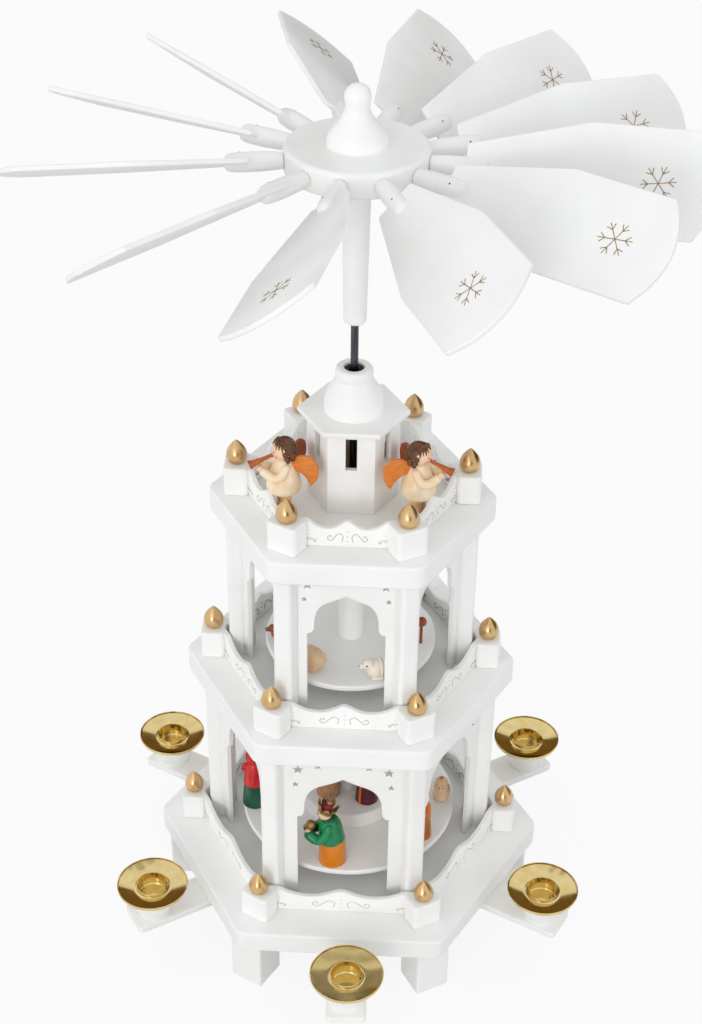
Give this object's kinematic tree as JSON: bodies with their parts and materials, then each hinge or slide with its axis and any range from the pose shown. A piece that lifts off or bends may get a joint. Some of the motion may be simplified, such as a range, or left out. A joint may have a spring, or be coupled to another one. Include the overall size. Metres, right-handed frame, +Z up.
{
  "type": "christmas pyramid",
  "caption": "Tiered hexagonal candle pyramid of white lacquered wood: arcades, railings, candle arms, figure turntables on a central shaft and a bladed rotor turned by warm air.",
  "frame": {"origin": "on the floor under the shaft, midway between the feet", "axes": "+Z up along the shaft; the front, with one side of the hexagon facing it, looks along -Y"},
  "size_m": [0.3283, 0.3269, 0.5],
  "materials": {
    "white_lacquer": "satin white lacquer",
    "brass": "polished",
    "steel": "dark polished",
    "green_paint": "gloss paint",
    "red_paint": "gloss paint",
    "orange_paint": "gloss paint",
    "dark_red_paint": "gloss paint",
    "natural_beige": "clear varnish",
    "cream_paint": "satin paint"
  },
  "bodies": {
    "stand": {"base_plate": "white_lacquer", "foot_1": "white_lacquer", "foot_2": "white_lacquer", "foot_3": "white_lacquer", "foot_4": "white_lacquer", "foot_5": "white_lacquer", "foot_6": "white_lacquer", "candle_arm_1": "white_lacquer", "candle_arm_2": "white_lacquer", "candle_arm_3": "white_lacquer", "candle_arm_4": "white_lacquer", "candle_arm_5": "white_lacquer", "candle_arm_6": "white_lacquer", "candle_holder_1": "brass", "candle_holder_2": "brass", "candle_holder_3": "brass", "candle_holder_4": "brass", "candle_holder_5": "brass", "candle_holder_6": "brass", "lower_railing": "white_lacquer", "middle_railing": "white_lacquer", "upper_railing": "white_lacquer", "lower_arcade": "white_lacquer", "middle_arcade": "white_lacquer", "middle_plate": "white_lacquer", "upper_plate": "white_lacquer", "tower_walls": "white_lacquer", "tower_roof": "white_lacquer", "tower_cap": "white_lacquer", "shaft_bush": "steel", "pivot_cup": "steel", "angel_left": "cream_paint", "angel_right": "cream_paint"},
    "rotor": {"shaft": "steel", "lower_turntable": "white_lacquer", "lower_pedestal": "white_lacquer", "middle_turntable": "white_lacquer", "middle_sleeve": "white_lacquer", "hub_sleeve": "white_lacquer", "rotor_hub": "white_lacquer", "rotor_knob": "white_lacquer", "figure_king": "green_paint", "figure_red_coat": "red_paint", "figure_orange_coat": "orange_paint", "figure_lamb": "natural_beige", "figure_dark_red_coat": "dark_red_paint", "figure_sheep": "cream_paint", "figure_calf": "natural_beige"},
    "blade_1": {"blade_1": "white_lacquer"},
    "blade_2": {"blade_2": "white_lacquer"},
    "blade_3": {"blade_3": "white_lacquer"},
    "blade_4": {"blade_4": "white_lacquer"},
    "blade_5": {"blade_5": "white_lacquer"},
    "blade_6": {"blade_6": "white_lacquer"},
    "blade_7": {"blade_7": "white_lacquer"},
    "blade_8": {"blade_8": "white_lacquer"},
    "blade_9": {"blade_9": "white_lacquer"},
    "blade_10": {"blade_10": "white_lacquer"},
    "blade_11": {"blade_11": "white_lacquer"},
    "blade_12": {"blade_12": "white_lacquer"}
  },
  "joints": [
    {"name": "rotor_spin", "type": "hinge", "parent": "stand", "child": "rotor", "pos_m": [0, 0, 0.046], "axis": [0, 0, 1], "continuous": true},
    {"name": "blade_1_pitch", "type": "hinge", "parent": "rotor", "child": "blade_1", "pos_m": [0.03258, 0.01135, 0.464], "axis": [0.9444, 0.3289, 0], "range_deg": [-25, 25]},
    {"name": "blade_2_pitch", "type": "hinge", "parent": "rotor", "child": "blade_2", "pos_m": [0.02331, 0.02544, 0.464], "axis": [0.6756, 0.7373, 0], "range_deg": [-25, 25]},
    {"name": "blade_3_pitch", "type": "hinge", "parent": "rotor", "child": "blade_3", "pos_m": [0.00922, 0.03324, 0.464], "axis": [0.2672, 0.9636, 0], "range_deg": [-25, 25]},
    {"name": "blade_4_pitch", "type": "hinge", "parent": "rotor", "child": "blade_4", "pos_m": [-0.00664, 0.03386, 0.464], "axis": [-0.1925, 0.9813, 0], "range_deg": [-25, 25]},
    {"name": "blade_5_pitch", "type": "hinge", "parent": "rotor", "child": "blade_5", "pos_m": [-0.02171, 0.02681, 0.464], "axis": [-0.6293, 0.7771, 0], "range_deg": [-25, 25]},
    {"name": "blade_6_pitch", "type": "hinge", "parent": "rotor", "child": "blade_6", "pos_m": [-0.03152, 0.01403, 0.464], "axis": [-0.9135, 0.4067, 0], "range_deg": [-25, 25]},
    {"name": "blade_7_pitch", "type": "hinge", "parent": "rotor", "child": "blade_7", "pos_m": [-0.03392, -0.00629, 0.464], "axis": [-0.9833, -0.1822, 0], "range_deg": [-25, 25]},
    {"name": "blade_8_pitch", "type": "hinge", "parent": "rotor", "child": "blade_8", "pos_m": [-0.02263, -0.02604, 0.464], "axis": [-0.6561, -0.7547, 0], "range_deg": [-25, 25]},
    {"name": "blade_9_pitch", "type": "hinge", "parent": "rotor", "child": "blade_9", "pos_m": [-0.00629, -0.03392, 0.464], "axis": [-0.1822, -0.9833, 0], "range_deg": [-25, 25]},
    {"name": "blade_10_pitch", "type": "hinge", "parent": "rotor", "child": "blade_10", "pos_m": [0.0132, -0.03187, 0.464], "axis": [0.3827, -0.9239, 0], "range_deg": [-25, 25]},
    {"name": "blade_11_pitch", "type": "hinge", "parent": "rotor", "child": "blade_11", "pos_m": [0.02843, -0.01954, 0.464], "axis": [0.8241, -0.5664, 0], "range_deg": [-25, 25]},
    {"name": "blade_12_pitch", "type": "hinge", "parent": "rotor", "child": "blade_12", "pos_m": [0.03417, -0.00474, 0.464], "axis": [0.9905, -0.1374, 0], "range_deg": [-25, 25]}
  ]
}
